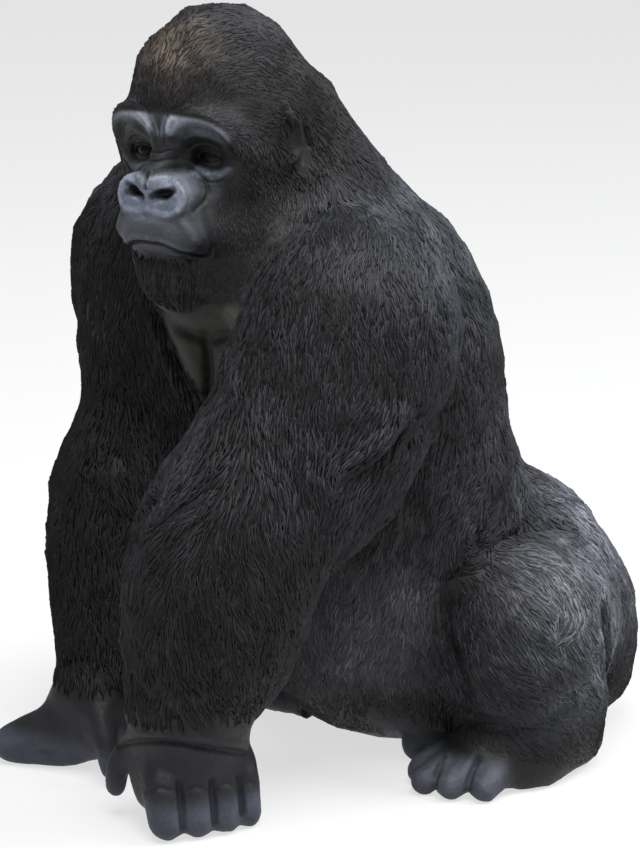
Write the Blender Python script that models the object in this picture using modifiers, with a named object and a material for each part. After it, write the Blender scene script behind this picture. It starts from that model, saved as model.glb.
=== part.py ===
# Gorilla figurine: a seated silverback, cast in one piece of resin.
# The clay of the model is laid on as balls and tapering rolls. A voxel Remesh fuses
# them, and every point of the skin is then pressed onto the smooth blend of the clay.
# It faces -Y, its own left side is +X, and it rests on Z = 0. Sizes are millimetres
# until the last step, which scales the figure to metres.

import bpy
import bmesh
import numpy as np
from math import radians, sin, cos
from mathutils import Euler, Matrix, Vector

FIGURE = "gorilla_figurine"
MM = 0.001

# Skeleton
HEAD_AT = Vector((0, -21.5, 326.5))
HEAD_TURN = 12
LEFT_ARM = (
    (84, -14, 245), (78, -36, 193), (70, -68, 157), (64, -80, 127),
    (57, -82, 96), (50, -87, 65), (46, -86, 42),
)
LEFT_ARM_RADII = (54, 53, 48, 47, 43, 33, 28)
RIGHT_ARM = (
    (-83, -4, 250), (-77, -3, 200), (-73, -12, 168), (-71, -26, 138),
    (-66, -36, 108), (-60, -43, 76), (-53, -56, 50), (-50, -68, 34),
)
RIGHT_ARM_RADII = (46, 46, 43, 47, 44.5, 41, 34, 28)
RIGHT_DELTOID = (-80, -8, 268)
HIP = (60, 140, 68)
KNEE = (100, 84, 74)
HEEL = (106, 117, 16)

# Torso
CHEST_RADII = (85, 77, 84)
WAIST_RADII = (87, 79, 62)
BELLY_RADII = (82, 68, 82)

# Head
SKULL_RADII = (41, 47, 46.5)
BROW_RADIUS = 7.5
EYE_SPREAD = 20.5
EYE_RADIUS = 8.5
NOSE_SPREAD = 14
LIP_RADIUS = 10

# Hands and feet
FINGER_TIPS = ((59, -111, 9.5), (66, -97, 8), (69.5, -83, 7.6), (70, -69, 7))
RIGHT_FINGER_RADII = (9.5, 8.5, 8, 7)
RIGHT_FINGER_PITCH = 15
TOE_TIPS = ((78, 37), (91, 28), (106, 33), (119, 44))
TOE_ROOTS = ((86, 66), (94, 62), (104, 68), (112, 78))
TOE_RADIUS = 7.5
BIG_TOE_REACH = {1: 52, -1: 38}

# Carved locks of hair
LOCK_WIDTH = 15
LOCK_LENGTH = 37
LOCK_HEIGHT = 1.1
LOCK_SWING = 5
WRIST_UP = 48
ANKLE_UP = 36

# Skin
GROUND = 0.8
ROUGH_VOXEL = 3.4
FINE_VOXEL = 2.0
CELL = 26
TRIANGLES = 11400
FACE_WEIGHT = 0.9
HAND_WEIGHT = 0.55

lumps = []


def ball(name, at, radii, blend=12, turn=0, tilt=0, cut=False):
    """An ellipsoid of clay, or a hollow. turn is about Z and tilt about Y, in degrees."""
    axes = Euler((0, radians(tilt), radians(turn))).to_matrix()
    lumps.append({
        "name": name, "at": np.array(at, float), "radii": np.array(radii, float) * np.ones(3),
        "axes": np.array(axes), "blend": blend, "cut": cut,
    })


def rounded(rows, steps=5):
    """More points on a smooth curve through the rows, so a bent roll has no kinks."""
    if len(rows) < 3:
        return rows
    ends = np.vstack([2 * rows[0] - rows[1], rows, 2 * rows[-1] - rows[-2]])
    out = []
    for i in range(len(rows) - 1):
        a, b, c, d = ends[i:i + 4]
        for t in np.arange(steps) / steps:
            bend = (2 * a - 5 * b + 4 * c - d) * t * t + (3 * b - a - 3 * c + d) * t ** 3
            out.append(0.5 * (2 * b + (c - a) * t + bend))
    return np.array(out + [rows[-1]])


def roll(name, path, radii, blend=10, steps=5):
    """A tapering roll of clay through the points of path."""
    points = np.array([list(p) for p in path], float)
    rows = rounded(np.column_stack([points, np.array(radii, float) * np.ones(len(points))]), steps)
    lumps.append({"name": name, "path": rows[:, :3], "thick": rows[:, 3], "blend": blend, "cut": False})


def onHead(side, forward, up):
    """A point of the head: to its left, forward, and up from between the ears."""
    a = radians(HEAD_TURN)
    return HEAD_AT + Vector((side * cos(a) + forward * sin(a), side * sin(a) - forward * cos(a), up))


def layTorso():
    ball("ribcage", (0, 52, 194), CHEST_RADII, 30)
    ball("waist", (0, 64, 142), WAIST_RADII, 30)
    ball("belly", (0, 64, 92), BELLY_RADII, 36)
    ball("belly_low", (8, 86, 38), (58, 44, 36), 26)
    roll("nape", [(0, 3, 332), (0, 32, 274)], [38, 54], 30)
    roll("left_shoulder_top", [(30, 10, 298), (70, 0, 268)], 26, 24)
    roll("right_shoulder_top", [(-30, 6, 306), (-74, -7, 291)], [28, 27], 20)
    ball("right_deltoid", RIGHT_DELTOID, 36, 16)
    for s in (-1, 1):
        ball("shoulder_blade", (s * 44, 53, 230), (42, 42, 58), 30)
        ball("pectoral", (s * 34, -8, 214), (32, 32, 44), 16)
        ball("buttock", (s * 46, 142, 60), (55, 60, 59), 22)
        ball("hip", (s * 52, 129, 109), (38, 42, 33), 22)
        ball("seat", (s * 50, 165, 36), (37, 35, 36), 20)
        ball("inner_thigh", (s * 58, 88, 40), (30, 34, 34), 16)


def layLeg(s):
    hip = (s * HIP[0], HIP[1], HIP[2])
    knee = (s * KNEE[0], KNEE[1], KNEE[2])
    heel = (s * HEEL[0], HEEL[1], HEEL[2])
    front = (s * (KNEE[0] - 10), KNEE[1] + 20, KNEE[2] + 2)
    ankle = (s * HEEL[0], HEEL[1] - 11, HEEL[2] + 21)
    roll("thigh", [hip, front, knee], [47, 44, 42], 14)
    roll("calf", [(s * (KNEE[0] - 2), KNEE[1] - 6, KNEE[2] - 8), ankle], [36, 26], 10)
    roll("heel", [ankle, heel], [25, 16], 10)
    roll("foot", [heel, (s * 110, 84, 17), (s * 103, 60, 14)], [15, 22, 17], 8)
    roll("instep", [(s * 102, 96, 38), (s * 94, 58, 16)], [20, 14], 10)
    for (tipX, tipY), (rootX, rootY) in zip(TOE_TIPS, TOE_ROOTS):
        middle = (s * (tipX + rootX) / 2, (tipY + rootY) / 2, 14)
        roll("toe", [(s * rootX, rootY, 16), middle, (s * tipX, tipY, TOE_RADIUS)], [9, 8, TOE_RADIUS], 2)
    reach = BIG_TOE_REACH[s]
    roll("big_toe", [(s * 84, 80, 16), (s * (reach + 14), 64, 12), (s * reach, 59, 9.5)], [13, 9, 9], 4)


def layRightInstep():
    """The right foot shows its inner side under the belly."""
    ball("right_foot_inner", (-58, 60, 12), (16, 18, 13), 8)
    roll("right_second_toe", [(-80, 72, 16), (-73, 58, 14), (-66, 45, TOE_RADIUS)], [9, 8, TOE_RADIUS], 2)


def layHands():
    """Both hands rest on their knuckles, the fingers folded under."""
    roll("left_palm", [(44, -87, 40), (48, -89, 30)], [28, 20], 8)
    roll("left_thumb_web", [(38, -107, 32), (46, -110, 22)], 9, 5)
    roll("left_thumb", [(30, -104, 42), (22, -112, 30), (18, -111, 17)], [9, 6.5, 6], 3)
    for x, y, r in FINGER_TIPS:
        path = [(x - 10, y * 0.92 - 4, 34), (x - 2, y, 24), (x, y, r + 1), (x - 8, y + 7, r), (x - 18, y + 15, r + 2)]
        roll("left_finger", path, [r + 2, r + 0.8, r, r - 0.5, r - 1], 2)
    roll("right_palm", [(-50, -70, 31), (-59, -79, 22)], [27, 19], 8)
    roll("right_thumb", [(-32, -84, 36), (-19, -89, 22), (-17, -89, 11)], [9, 6.5, 5.5], 3)
    for k, r in enumerate(RIGHT_FINGER_RADII):
        y = RIGHT_FINGER_PITCH * k
        path = [(-60, y - 90, 22), (-82, y - 104, 12), (-80, y - 103, r), (-73, y - 98, r - 1),
                (-67, y - 94, r), (-61, y - 90, r - 1), (-56, y - 86, r)]
        roll("right_finger", path, [r + 4, r + 0.5, r, r - 1.5, r - 0.5, r - 2, r - 1], 3)


def layHead():
    def part(name, at, radii, blend=8, **more):
        ball(name, onHead(*at), radii, blend, turn=HEAD_TURN, **more)

    def line(name, points, radii, blend):
        roll(name, [onHead(*p) for p in points], radii, blend)

    part("skull", (0, 8, 24), SKULL_RADII, 10)
    brow = [(-38, 33, 3), (-32, 40, 14), (-19, 47, 18), (0, 45, 14), (19, 47, 18), (32, 40, 14), (38, 33, 3)]
    line("brow", brow, [r * BROW_RADIUS for r in (0.8, 0.93, 1, 0.93, 1, 0.93, 0.8)], 5)
    part("face", (0, 18, -14), (38, 28, 34), 10)
    part("throat", (0, 16, -66), (32, 30, 22), 14)
    for s in (-1, 1):
        part("cheek", (s * 22, 4, -40), (26, 38, 44), 14)
        part("temple", (s * 28, 4, 6), (16, 34, 32), 12)
        part("cheekbone", (s * 30, 31, -8), (10, 10, 10), 8)
    part("muzzle", (0, 39, -27), (26, 25, 18), 12)
    lip = [(-25, 40, -37), (-15, 53, -35), (0, 54, -33), (15, 53, -35), (25, 40, -37)]
    line("upper_lip", lip, [LIP_RADIUS * r for r in (0.8, 1, 0.9, 1, 0.8)], 8)
    edge = [(-24, 42, -41), (-14, 54.5, -40), (0, 57, -38.5), (14, 54.5, -40), (24, 42, -41)]
    line("lip_edge", edge, [LIP_RADIUS * r for r in (0.4, 0.5, 0.48, 0.5, 0.4)], 4)
    low = [(-23, 39, -50), (-13, 51, -51), (0, 53, -50), (13, 51, -51), (23, 39, -50)]
    line("lower_lip", low, [LIP_RADIUS * r for r in (0.5, 0.6, 0.6, 0.6, 0.5)], 3)
    part("chin", (0, 36, -62), (24, 22, 16), 7)
    part("nose", (0, 56, -14), (11, 9.5, 9), 5)
    for s in (-1, 1):
        part("nose_wing", (s * NOSE_SPREAD, 55, -17), (8.5, 9, 9), 5)
    line("nose_bridge", [(0, 42, 10), (0, 50, 0), (0, 57, -9)], [7, 7, 6], 6)
    for s in (-1, 1):
        part("eye_socket", (s * (EYE_SPREAD + 0.5), 50, 1), (13.5, 9, 7.5), 4, cut=True)
        part("eyeball", (s * EYE_SPREAD, 34, 0), EYE_RADIUS, 1)
        line("upper_lid", [(s * 11, 40, 2), (s * 20, 43, 5.5), (s * 30, 38, 1)], [2.2, 2.4, 2], 2)
        line("lower_lid", [(s * 11, 40, -1), (s * 20, 42, -5), (s * 30, 37, 0)], [2, 2.2, 2], 2)
        line("eye_bag", [(s * 13, 44, -8), (s * 24, 41, -11), (s * 33, 34, -7)], [2.5, 3.2, 2.5], 3)
        part("nostril", (s * 9, 68, -16), (5.8, 6.5, 3.8), 2, cut=True, tilt=-s * 18)
        ear = [(36, 8, 14), (40, 3, 18), (42.5, -4, 15), (42.5, -7, 5), (40, -4, -4), (37, 2, -8)]
        line("ear", [(s * side, forward, up) for side, forward, up in ear], [2.6, 3, 3.2, 3.2, 3, 3], 2)


def layClay():
    lumps.clear()
    layTorso()
    for s in (-1, 1):
        layLeg(s)
    roll("left_arm", LEFT_ARM, LEFT_ARM_RADII, 15, steps=8)
    roll("right_arm", RIGHT_ARM, RIGHT_ARM_RADII, 15, steps=8)
    layRightInstep()
    layHands()
    layHead()


def toEllipsoid(points, lump):
    q = (points - lump["at"]) @ lump["axes"]
    q /= lump["radii"]
    k0 = np.sqrt(np.einsum("ij,ij->i", q, q))
    q /= lump["radii"]
    k1 = np.sqrt(np.einsum("ij,ij->i", q, q))
    return k0 * (k0 - 1) / np.maximum(k1, 1e-9)


def toRoll(points, lump):
    """Distance to the nearest point of the centre line, less the thickness there."""
    path = lump["path"]
    thick = lump["thick"]
    best = np.full(len(points), 1e9)
    radius = np.zeros(len(points))
    for i in range(len(path) - 1):
        ab = path[i + 1] - path[i]
        t = np.clip((points - path[i]) @ ab / max(ab @ ab, 1e-9), 0, 1)
        off = points - path[i] - t[:, None] * ab
        d = np.einsum("ij,ij->i", off, off)
        nearer = d < best
        best = np.where(nearer, d, best)
        radius = np.where(nearer, thick[i] + t * (thick[i + 1] - thick[i]), radius)
    return np.sqrt(best) - radius


def depth(points, near):
    """Signed distance to the blended clay of the lumps that are near."""
    d = np.full(len(points), 60.0)
    for lump in near:
        e = toRoll(points, lump) if "path" in lump else toEllipsoid(points, lump)
        k = lump["blend"]
        if lump["cut"]:
            h = np.maximum(k - np.abs(d + e), 0) / k
            d = np.maximum(d, -e) + h * h * k / 4
        else:
            h = np.maximum(k - np.abs(d - e), 0) / k
            d = np.minimum(d, e) - h * h * k / 4
    return d


def bounds(lump):
    """The box outside which a lump changes nothing near the skin."""
    pad = lump["blend"] + 8
    if "path" in lump:
        pad += lump["thick"].max()
        return lump["path"].min(0) - pad, lump["path"].max(0) + pad
    half = np.sqrt((lump["axes"] ** 2) @ (lump["radii"] ** 2)) + pad
    return lump["at"] - half, lump["at"] + half


def depthAndSlope(points):
    """Depth and its gradient, worked out cell by cell with the lumps that reach each cell."""
    low = np.array([bounds(lump)[0] for lump in lumps])
    high = np.array([bounds(lump)[1] for lump in lumps])
    cells = np.floor(points / CELL).astype(int)
    keys = (cells[:, 0] * 512 + cells[:, 1]) * 512 + cells[:, 2]
    order = np.argsort(keys, kind="stable")
    splits = np.flatnonzero(np.diff(keys[order])) + 1
    step = 0.3
    corners = np.array([[1, 1, 1], [1, -1, -1], [-1, 1, -1], [-1, -1, 1]]) * step
    d = np.zeros(len(points))
    slope = np.zeros((len(points), 3))
    for chosen in np.split(order, splits):
        p = points[chosen]
        touching = np.all((low < p.max(0)) & (high > p.min(0)), axis=1)
        near = [lump for lump, yes in zip(lumps, touching) if yes]
        four = depth((p[:, None, :] + corners).reshape(-1, 3), near).reshape(-1, 4)
        d[chosen] = four.mean(1)
        slope[chosen] = (four @ corners) / (4 * step ** 2)
    return d, slope


def readPoints(mesh):
    co = np.zeros(len(mesh.vertices) * 3)
    mesh.vertices.foreach_get("co", co)
    return co.reshape(-1, 3)


def ramp(x, low, high):
    return np.clip((x - low) / (high - low), 0, 1)


def bareness(points):
    """1 on the bare face, ears, breast, hands and feet and near the ground, 0 on the coat."""
    x, y, z = points.T
    q = points - np.array(HEAD_AT)
    forward = q @ np.array(onHead(0, 1, 0) - onHead(0, 0, 0))
    side = np.abs(q @ np.array(onHead(1, 0, 0) - onHead(0, 0, 0)))
    up = q[:, 2]
    face = ramp(forward, 18, 28) * ramp(up, -66, -56) * ramp(-up, -36, -26)
    ear = ramp(side, 32, 37) * ramp(-np.abs(up - 5), -24, -18) * ramp(-np.abs(forward), -18, -13)
    breast = ramp(-np.abs(x - 3), -30, -20) * ramp(-y, 16, 26) * ramp(z, 180, 196) * ramp(-z, -262, -250)
    hand = ramp(-z, -WRIST_UP - 8, -WRIST_UP) * ramp(-y, 38, 48)
    foot = ramp(-z, -ANKLE_UP - 8, -ANKLE_UP)
    return np.maximum.reduce([face, ear, breast, hand, foot])


def lockHeight(points):
    """Relief of the carved locks, long lobes that run down the body side by side."""
    x, y, z = points.T
    turn = 2 * np.pi / LOCK_WIDTH
    fall = 2 * np.pi * z / LOCK_LENGTH
    x = x + LOCK_SWING * np.sin(fall)
    y = y + LOCK_SWING * np.cos(fall)
    rows = np.cos(turn * x) + np.cos(turn * (x + y * 3 ** 0.5) / 2) + np.cos(turn * (x - y * 3 ** 0.5) / 2)
    return LOCK_HEIGHT * (rows - 0.4) / 2 * (1 - bareness(points))


def press(mesh, rounds, share=0.9):
    """Moves every point of the skin onto the clay with its carved locks."""
    p = readPoints(mesh)
    for _ in range(rounds):
        d, slope = depthAndSlope(p)
        d = d - lockHeight(p)
        steep = np.maximum((slope * slope).sum(1), 0.2)
        move = -(d / steep)[:, None] * slope
        size = np.linalg.norm(move, axis=1)
        move *= np.minimum(1, 6 / np.maximum(size, 1e-9))[:, None]
        p = p + share * move
    mesh.vertices.foreach_set("co", p.ravel())
    mesh.update()


def keepLargest(mesh):
    """Drops any pocket shut inside the clay."""
    bm = bmesh.new()
    bm.from_mesh(mesh)
    seen = set()
    shells = []
    for start in bm.verts:
        if start in seen:
            continue
        seen.add(start)
        shell = [start]
        for v in shell:
            for edge in v.link_edges:
                other = edge.other_vert(v)
                if other not in seen:
                    seen.add(other)
                    shell.append(other)
        shells.append(shell)
    shells.sort(key=len)
    for shell in shells[:-1]:
        bmesh.ops.delete(bm, geom=shell, context="VERTS")
    bm.to_mesh(mesh)
    bm.free()


def applied(mesh, kind, settings, group=None):
    """The mesh after one modifier, with an optional vertex group for it."""
    thing = bpy.data.objects.new("clay", mesh)
    bpy.context.scene.collection.objects.link(thing)
    if group is not None:
        weights = thing.vertex_groups.new(name="keep")
        for level in np.unique(group):
            weights.add(np.flatnonzero(group == level).tolist(), float(level), "REPLACE")
    modifier = thing.modifiers.new("step", kind)
    for key, value in settings.items():
        setattr(modifier, key, value)
    depsgraph = bpy.context.evaluated_depsgraph_get()
    out = bpy.data.meshes.new_from_object(thing.evaluated_get(depsgraph))
    bpy.data.objects.remove(thing)
    return out


def fuse(mesh, voxel):
    """One closed skin around everything."""
    fused = applied(mesh, "REMESH", {"mode": "VOXEL", "voxel_size": voxel})
    keepLargest(fused)
    return fused


def roughSkin():
    """A pellet of clay at every ball and all along every roll, fused together."""
    bm = bmesh.new()
    bmesh.ops.create_uvsphere(bm, u_segments=18, v_segments=10, radius=1)
    corners = np.array([v.co for v in bm.verts])
    sides = [[v.index for v in face.verts] for face in bm.faces]
    bm.free()
    points = []
    faces = []

    def pellet(at, axes, radii):
        start = len(points) * len(corners)
        points.append((corners * radii) @ axes.T + at)
        faces.extend([[i + start for i in side] for side in sides])

    for lump in lumps:
        if lump["cut"]:
            continue
        if "path" not in lump:
            pellet(lump["at"], lump["axes"], lump["radii"])
            continue
        path, thick = lump["path"], lump["thick"]
        for i in range(len(path) - 1):
            span = path[i + 1] - path[i]
            n = max(2, int(np.linalg.norm(span) / (0.45 * min(thick[i], thick[i + 1]))) + 1)
            for t in np.linspace(0, 1, n):
                pellet(path[i] + t * span, np.eye(3), np.ones(3) * (thick[i] + t * (thick[i + 1] - thick[i])))
    mesh = bpy.data.meshes.new("clay")
    mesh.from_pydata(np.concatenate(points).tolist(), [], faces)
    return fuse(mesh, ROUGH_VOXEL)


def detail(points):
    """How much each point is spared by the Decimate: the face most, then hands and feet."""
    turned = np.array(onHead(0, 1, 0) - onHead(0, 0, 0))
    across = np.array(onHead(1, 0, 0) - onHead(0, 0, 0))
    q = points - np.array(HEAD_AT)
    up = points[:, 2] - HEAD_AT.z
    face = (q @ turned > 26) & (up > -62) & (up < 34)
    ears = (np.abs(q @ across) > 33) & (np.abs(up - 5) < 20) & (np.abs(q @ turned) < 14)
    hands = (points[:, 2] < 44) & (points[:, 1] < -50)
    feet = (points[:, 2] < 26) & (points[:, 1] > 16) & (points[:, 1] < 82) & (np.abs(points[:, 0]) > 26)
    weight = np.zeros(len(points))
    weight[hands | feet] = HAND_WEIGHT
    weight[face | ears] = FACE_WEIGHT
    return weight


def buildSkin():
    layClay()
    mesh = roughSkin()
    press(mesh, 4)
    mesh = fuse(mesh, FINE_VOXEL)
    press(mesh, 3)
    return mesh


def lighten(mesh):
    """Fewer, larger triangles, each corner pressed back onto the clay."""
    spared = 1 - detail(readPoints(mesh))
    ratio = TRIANGLES / (2 * len(mesh.polygons))
    settings = {"ratio": ratio, "use_collapse_triangulate": True, "vertex_group": "keep", "vertex_group_factor": 1.0}
    mesh = applied(mesh, "DECIMATE", settings, spared)
    press(mesh, 2, share=0.8)
    return mesh


def standOnGround(mesh):
    """Cuts the underside off flat, so hands, feet and seat rest on real flat faces."""
    bm = bmesh.new()
    bm.from_mesh(mesh)
    everything = bm.verts[:] + bm.edges[:] + bm.faces[:]
    level = Vector((0, 0, GROUND))
    cut = bmesh.ops.bisect_plane(bm, geom=everything, dist=1e-4, plane_co=level, plane_no=(0, 0, 1), clear_inner=True)
    rims = [e for e in cut["geom_cut"] if isinstance(e, bmesh.types.BMEdge)]
    bmesh.ops.holes_fill(bm, edges=rims, sides=0)
    bmesh.ops.dissolve_degenerate(bm, dist=0.05, edges=bm.edges[:])
    bmesh.ops.triangulate(bm, faces=[f for f in bm.faces if len(f.verts) > 3])
    bmesh.ops.recalc_face_normals(bm, faces=bm.faces[:])
    co = np.array([v.co for v in bm.verts])
    middle = (co.min(0) + co.max(0)) / 2
    bm.transform(Matrix.Scale(MM, 4) @ Matrix.Translation((-middle[0], -middle[1], -GROUND)))
    for face in bm.faces:
        face.smooth = True
    bm.to_mesh(mesh)
    bm.free()


def resin():
    material = bpy.data.materials.new("painted_resin")
    material.use_nodes = True
    shader = material.node_tree.nodes["Principled BSDF"]
    shader.inputs["Base Color"].default_value = (0.045, 0.045, 0.05, 1)
    shader.inputs["Roughness"].default_value = 0.55
    return material


def main():
    for thing in list(bpy.data.objects):
        bpy.data.objects.remove(thing)
    mesh = lighten(buildSkin())
    standOnGround(mesh)
    mesh.name = FIGURE
    mesh.materials.clear()
    mesh.materials.append(resin())
    figure = bpy.data.objects.new(FIGURE, mesh)
    collection = bpy.data.collections.new(FIGURE)
    bpy.context.scene.collection.children.link(collection)
    collection.objects.link(figure)


if __name__ == "__main__":
    main()
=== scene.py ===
import math
import time

import bmesh
import bpy
import numpy as np
from mathutils import Matrix, Vector
from mathutils.bvhtree import BVHTree


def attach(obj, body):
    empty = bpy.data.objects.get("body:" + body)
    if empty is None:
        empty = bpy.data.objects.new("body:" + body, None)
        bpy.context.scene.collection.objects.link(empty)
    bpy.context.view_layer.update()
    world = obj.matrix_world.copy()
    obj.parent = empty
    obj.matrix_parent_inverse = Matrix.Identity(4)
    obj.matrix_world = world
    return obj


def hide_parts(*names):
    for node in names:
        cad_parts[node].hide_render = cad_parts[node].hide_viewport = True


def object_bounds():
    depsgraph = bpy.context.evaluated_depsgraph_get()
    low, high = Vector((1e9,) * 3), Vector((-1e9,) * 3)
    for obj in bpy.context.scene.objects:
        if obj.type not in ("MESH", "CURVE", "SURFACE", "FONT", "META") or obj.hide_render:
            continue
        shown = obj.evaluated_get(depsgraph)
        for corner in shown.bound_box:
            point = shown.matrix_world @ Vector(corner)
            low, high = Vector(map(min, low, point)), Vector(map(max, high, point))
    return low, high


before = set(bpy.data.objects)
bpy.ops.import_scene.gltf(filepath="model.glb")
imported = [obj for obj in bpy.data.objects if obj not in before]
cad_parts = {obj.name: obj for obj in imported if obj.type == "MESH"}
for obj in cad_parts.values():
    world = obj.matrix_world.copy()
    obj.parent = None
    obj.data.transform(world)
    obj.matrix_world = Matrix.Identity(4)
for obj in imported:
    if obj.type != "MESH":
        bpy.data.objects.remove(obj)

started = time.time()
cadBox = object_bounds()

# Sculpting sizes are in millimetres, counted from a zero 38.6 mm in front of the model's centre.
zero = np.array((0.0, 38.6, 0.8))
headAt = np.array((0.0, -21.5, 326.5))
headTurn = math.radians(12)
headRadii = (50, 58, 62)

# The view that the figurine is shown from, and the frame of 640 x 848 that it fills.
view = {
    "azimuth": 50,
    "elevation": 13,
    "distance": 1530,
    "target": (36, 0, 200),
    "focal": 3060,        # in points of the frame
    "centre": (310.8, 400),
    "frame": (640, 848),
    "sensor": 36,         # mm
    "farClip": 60,        # m
}


def report(stage):
    print("%-34s %6.1f s" % (stage, time.time() - started))


def toMetres(points):
    return (points - zero) * 0.001


def ease(x, low, high):
    t = np.clip((x - low) / (high - low), 0, 1)
    return t * t * (3 - 2 * t)


def oneSide(points):
    # both sides of the body, laid over each other
    return np.c_[np.abs(points[:, 0]), points[:, 1:]]


def unit(v):
    return v / np.maximum(np.linalg.norm(v, axis=-1, keepdims=True), 1e-9)


def headSpace(points):
    d = points - headAt
    c, s = math.cos(headTurn), math.sin(headTurn)
    return np.c_[d[:, 0] * c + d[:, 1] * s, d[:, 0] * s - d[:, 1] * c, d[:, 2]]


def fromHead(q):
    q = np.atleast_2d(np.asarray(q, float))
    c, s = math.cos(headTurn), math.sin(headTurn)
    return headAt + np.c_[q[:, 0] * c + q[:, 1] * s, q[:, 0] * s - q[:, 1] * c, q[:, 2]]


def viewAxes():
    a, e = math.radians(view["azimuth"]), math.radians(view["elevation"])
    back = np.array((math.sin(a) * math.cos(e), -math.cos(a) * math.cos(e), math.sin(e)))
    right = np.array((math.cos(a), math.sin(a), 0))
    return back, right, np.cross(back, right)


def cloud(points, size, seed):
    # smooth value noise between -1 and 1, the same on every run
    lattice = np.random.default_rng(seed).uniform(-1, 1, (32, 32, 32))
    q = points / size + 100
    i = np.floor(q).astype(int)
    f = q - i
    f = f * f * (3 - 2 * f)
    total = np.zeros(len(points))
    for dx in (0, 1):
        for dy in (0, 1):
            for dz in (0, 1):
                w = (f[:, 0] if dx else 1 - f[:, 0]) * (f[:, 1] if dy else 1 - f[:, 1])
                w = w * (f[:, 2] if dz else 1 - f[:, 2])
                total += w * lattice[(i[:, 0] + dx) % 32, (i[:, 1] + dy) % 32, (i[:, 2] + dz) % 32]
    return total


def toSculpt(corner):
    return np.array(corner) * 1000 + zero


def readPoints(mesh):
    flat = np.empty(len(mesh.vertices) * 3, np.float32)
    mesh.vertices.foreach_get("co", flat)
    return flat.reshape(-1, 3).astype(float) * 1000 + zero


def readNormals(mesh):
    flat = np.empty(len(mesh.vertices) * 3, np.float32)
    mesh.vertices.foreach_get("normal", flat)
    return flat.reshape(-1, 3).astype(float)


def readEdges(mesh):
    flat = np.empty(len(mesh.edges) * 2, np.int32)
    mesh.edges.foreach_get("vertices", flat)
    return flat.reshape(-1, 2)


def writePoints(mesh, points):
    mesh.vertices.foreach_set("co", toMetres(points).astype(np.float32).ravel())
    mesh.update()


def place(name, mesh):
    piece = bpy.data.objects.new(name, mesh)
    bpy.context.scene.collection.objects.link(piece)
    return piece


def bake(piece, kind, **settings):
    # applies one modifier to the piece for good
    modifier = piece.modifiers.new("step", kind)
    for key, value in settings.items():
        setattr(modifier, key, value)
    depsgraph = bpy.context.evaluated_depsgraph_get()
    mesh = bpy.data.meshes.new_from_object(piece.evaluated_get(depsgraph))
    old = piece.data
    piece.modifiers.clear()
    piece.data = mesh
    bpy.data.meshes.remove(old)
    return mesh


def neighbourMean(values, edges, count):
    return np.stack([
        np.bincount(edges[:, 0], values[edges[:, 1], k], len(values))
        + np.bincount(edges[:, 1], values[edges[:, 0], k], len(values))
        for k in range(values.shape[1])
    ], 1) / count[:, None]


def relax(points, edges, share, rounds):
    # smooths without shrinking
    count = np.maximum(np.bincount(edges.ravel(), minlength=len(points)), 1)
    for _ in range(rounds):
        for step in (0.5, -0.52):
            points = points + (neighbourMean(points, edges, count) - points) * (step * share)[:, None]
    return points


def surfaceOf(mesh):
    # the mesh's surface for finding points on it, its points and its triangles
    mesh.calc_loop_triangles()
    corners = np.empty(len(mesh.loop_triangles) * 3, np.int32)
    mesh.loop_triangles.foreach_get("vertices", corners)
    corners = corners.reshape(-1, 3)
    points = readPoints(mesh)
    return BVHTree.FromPolygons(points.tolist(), corners.tolist()), points, corners


def sight(surface, px, py):
    # where the line of sight through one point of the frame meets the surface
    back, right, up = viewAxes()
    eye = np.array(view["target"]) + view["distance"] * back
    across, down = px - view["centre"][0], py - view["centre"][1]
    line = right * across / view["focal"] - up * down / view["focal"] - back
    hit, normal, _, _ = surface.ray_cast(Vector(eye), Vector(unit(line)))
    return (None, None) if hit is None else (np.array(hit), np.array(normal))


def faceOn(surface, side, up):
    # where a line straight back into the face meets it
    start = fromHead((side, 150, up))[0]
    into = fromHead((side, 0, up))[0] - start
    hit, _, _, _ = surface.ray_cast(Vector(start), Vector(unit(into)))
    return None if hit is None else np.array(hit)


def between(points, gap):
    # more points along a line of points, no further apart than the gap
    out = [np.array(points[0], float)]
    for a, b in zip(points[:-1], points[1:]):
        a, b = np.array(a, float), np.array(b, float)
        n = max(1, int(np.ceil(np.linalg.norm(b - a) / gap)))
        out += [a + (b - a) * (k + 1) / n for k in range(n)]
    return out


def curve(points, steps=6):
    # a smooth line through the points
    p = [np.array(q, float) for q in points]
    p = [2 * p[0] - p[1]] + p + [2 * p[-1] - p[-2]]
    out = []
    for a, b, c, d in zip(p[:-3], p[1:-2], p[2:-1], p[3:]):
        for t in np.linspace(0, 1, steps, endpoint=False):
            out.append(0.5 * (2 * b + (c - a) * t + (2 * a - 5 * b + 4 * c - d) * t * t
                              + (3 * b - a - 3 * c + d) * t ** 3))
    return out + [p[-2]]


def press(points, normals, line, radius, height):
    # raises or sinks the surface along a line, most at the line itself
    line = np.array(line)
    near = np.all((points > line.min(0) - radius) & (points < line.max(0) + radius), 1)
    index = np.flatnonzero(near)
    if not len(index):
        return
    gap = np.full(len(index), 1e9)
    along = np.zeros(len(index))
    for k, q in enumerate(line):
        d = np.linalg.norm(points[index] - q, axis=1)
        closer = d < gap
        gap = np.where(closer, d, gap)
        along = np.where(closer, k / max(len(line) - 1, 1), along)
    taper = 0.35 + 0.65 * np.sin(np.pi * np.clip(along, 0.02, 0.98)) ** 0.6
    points[index] += normals[index] * (height * taper * (1 - ease(gap, 0, radius)))[:, None]


# The skin is the one cast form under the hair.
skinForm = {
    "rounding": 2,         # levels of smoothing over the cast's facets
    "grain": 1.12,         # mm between points while it is sculpted
    "triangles": 166000,
    "faceKeep": 0.9,       # how much of the fine mesh the face keeps
    "handKeep": 0.45,
}

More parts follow.
